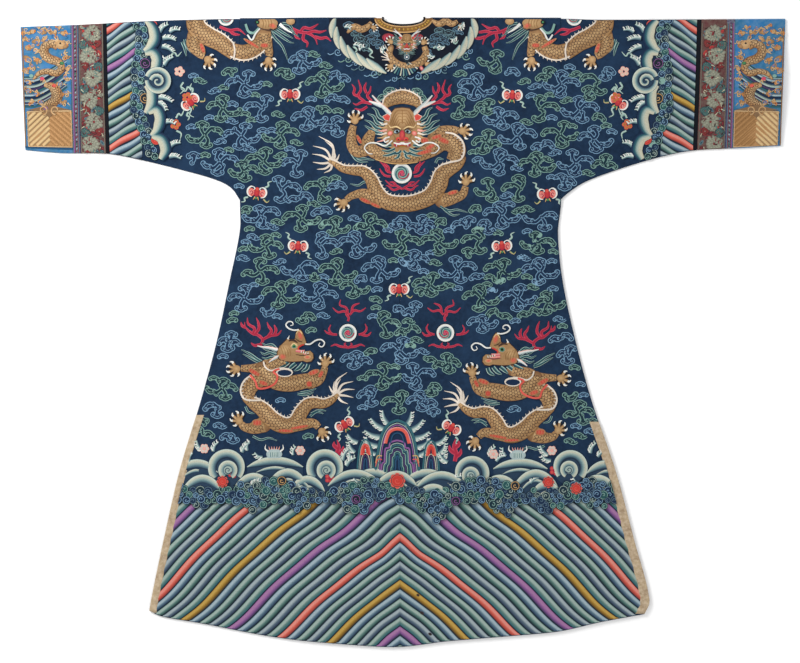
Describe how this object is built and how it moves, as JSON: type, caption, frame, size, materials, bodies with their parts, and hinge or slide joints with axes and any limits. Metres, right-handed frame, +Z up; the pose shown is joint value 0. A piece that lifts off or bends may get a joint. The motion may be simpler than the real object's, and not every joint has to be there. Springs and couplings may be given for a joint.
{
  "type": "dragon robe",
  "caption": "Court dragon robe laid flat on its front, with flared panels, straight sleeves, banded cuffs, a yoke, a collar band and side vents.",
  "frame": {"origin": "middle of the robe's outline, on the surface that it lies on", "axes": "+X from the left to the right of the picture, across the sleeves; +Y from the hem to the shoulders; +Z up, out of the robe's back"},
  "size_m": [1.705, 1.4044, 0.0129],
  "materials": {
    "navy_silk": "woven silk with coloured embroidery",
    "black_piping": "black satin binding",
    "flowered_band": "brown silk with pale flowers",
    "woven_ribbon": "narrow purple and blue woven ribbon",
    "cuff_silk": "bright blue silk with laid gold thread",
    "yoke_silk": "dark silk with coloured embroidery",
    "gold_brocade": "gold brocade band",
    "gold_thread": "couched gold thread",
    "coloured_silk": "satin stitch in silk floss"
  },
  "bodies": {
    "root": {"back_left": "navy_silk", "back_right": "navy_silk", "front_left": "navy_silk", "front_overlap": "navy_silk", "front_under": "navy_silk", "sleeve_left": "navy_silk", "sleeve_right": "navy_silk", "sleeve_piping_left": "black_piping", "sleeve_piping_right": "black_piping", "floral_band_left": "flowered_band", "floral_band_right": "flowered_band", "ribbon_left": "woven_ribbon", "ribbon_right": "woven_ribbon", "cuff_left": "cuff_silk", "cuff_right": "cuff_silk", "yoke_back": "yoke_silk", "yoke_front": "yoke_silk", "collar_back": "gold_brocade", "collar_front": "gold_brocade", "neck_piping_back": "black_piping", "neck_piping_front": "black_piping", "vent_band_left_back": "gold_brocade", "vent_band_right_back": "gold_brocade", "vent_band_left_front": "gold_brocade", "vent_band_right_front": "gold_brocade"}
  },
  "joints": []
}
